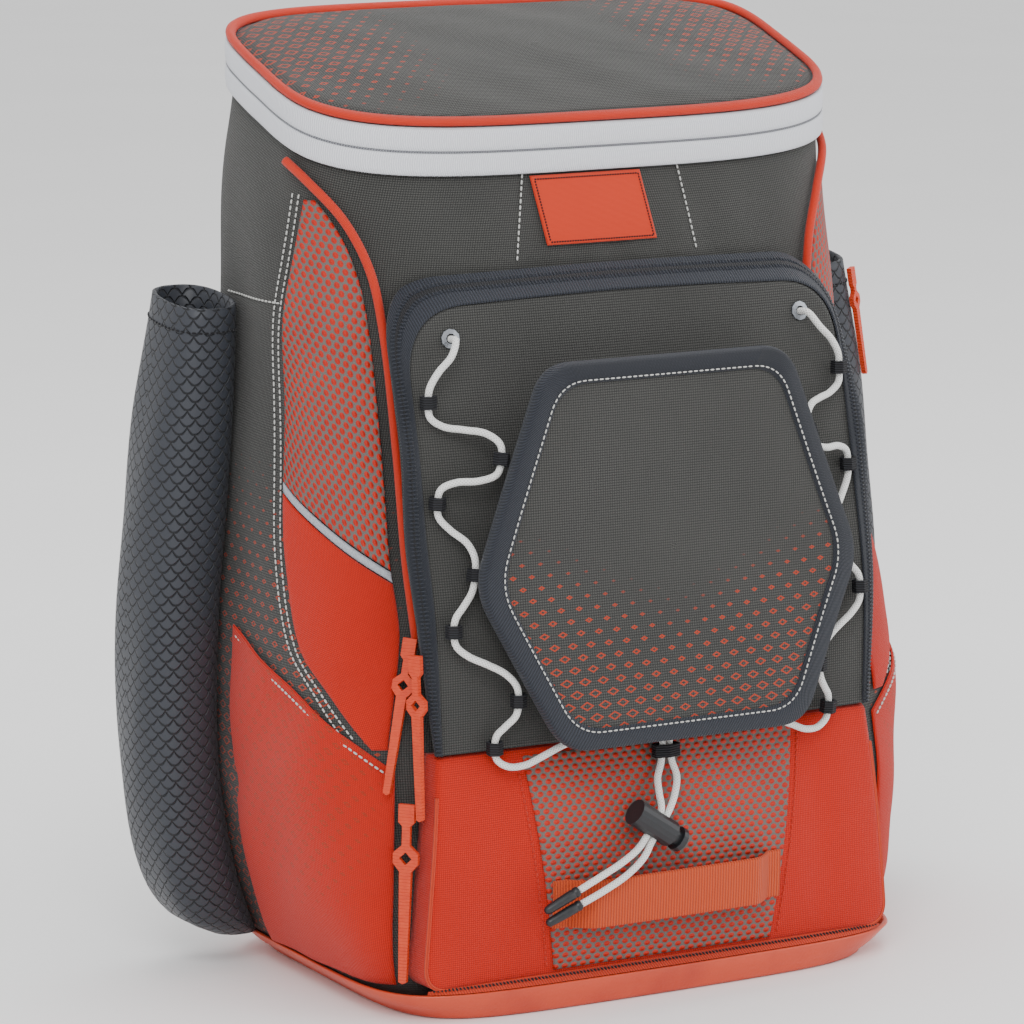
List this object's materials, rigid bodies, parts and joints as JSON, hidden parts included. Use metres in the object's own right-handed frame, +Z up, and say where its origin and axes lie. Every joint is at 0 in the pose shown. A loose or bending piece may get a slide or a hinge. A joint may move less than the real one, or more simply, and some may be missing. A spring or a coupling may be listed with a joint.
{
  "type": "baseball bat backpack",
  "caption": "Upright sports backpack with a zipped sloping lid, side bat sleeves, an arched front pocket, a laced six-sided flap and a lower pocket.",
  "frame": {"origin": "on the ground under the middle of the pack, its elastic cord apart", "axes": "+Z up, +Y towards the wearer's back, +X to the right as the front is seen"},
  "size_m": [0.4466, 0.2658, 0.492],
  "materials": {
    "charcoal_cloth": "matte woven",
    "navy_tape": "matte woven",
    "slate_cloth": "embossed",
    "orange_cloth": "matte woven",
    "coated_cloth": "coated",
    "orange_webbing": "ribbed",
    "white_tape": "smooth",
    "white_cord": "braided",
    "black_webbing": "ribbed",
    "mesh_cloth": "open net",
    "silver_tape": "reflective",
    "black_plastic": "satin",
    "moulded_pull": "moulded",
    "eyelet_metal": "satin"
  },
  "bodies": {
    "pack": {"body_shell": "charcoal_cloth", "base_panel": "coated_cloth", "rim_band": "white_tape", "lid_band": "white_tape", "lid_panel": "charcoal_cloth", "lid_piping": "orange_cloth", "mesh_wedge_right": "mesh_cloth", "side_stripe_right": "silver_tape", "side_panel_right": "orange_cloth", "lower_side_right": "orange_cloth", "side_piping_right": "orange_cloth", "mesh_wedge_left": "mesh_cloth", "side_stripe_left": "silver_tape", "side_panel_left": "orange_cloth", "lower_side_left": "orange_cloth", "side_piping_left": "orange_cloth", "label_patch": "orange_cloth", "front_pocket": "charcoal_cloth", "pocket_zip": "navy_tape", "lower_pocket": "orange_cloth", "mesh_panel": "mesh_cloth", "web_loop": "orange_webbing", "hex_flap": "charcoal_cloth", "hex_binding": "navy_tape", "pocket_loop_right_1": "black_webbing", "pocket_loop_right_2": "black_webbing", "pocket_loop_right_3": "black_webbing", "pocket_loop_right_4": "black_webbing", "flap_loop_right_1": "black_webbing", "flap_loop_right_2": "black_webbing", "flap_loop_right_3": "black_webbing", "eyelet_right": "eyelet_metal", "pocket_loop_left_1": "black_webbing", "pocket_loop_left_2": "black_webbing", "pocket_loop_left_3": "black_webbing", "pocket_loop_left_4": "black_webbing", "flap_loop_left_1": "black_webbing", "flap_loop_left_2": "black_webbing", "flap_loop_left_3": "black_webbing", "eyelet_left": "eyelet_metal", "centre_loop": "black_webbing", "lock_barrel": "black_plastic", "bungee_right": "white_cord", "bungee_tip_right": "black_plastic", "bungee_left": "white_cord", "bungee_tip_left": "black_plastic", "bat_sleeve_right": "slate_cloth", "bat_sleeve_left": "slate_cloth", "pocket_pull_1": "moulded_pull", "pocket_pull_2": "moulded_pull", "lower_pull": "moulded_pull", "sleeve_pull_left": "moulded_pull", "sleeve_pull_right": "moulded_pull", "back_pad": "slate_cloth", "shoulder_strap_right": "slate_cloth", "shoulder_strap_left": "slate_cloth", "haul_handle": "black_webbing"},
    "cord_lock_button": {"lock_button": "black_plastic"}
  },
  "joints": [
    {"name": "lock_button_press", "type": "slide", "parent": "pack", "child": "cord_lock_button", "axis": [-0.829, 0, 0.5592], "range_m": [0, 0.004], "stiffness_N_per_m": 400}
  ]
}
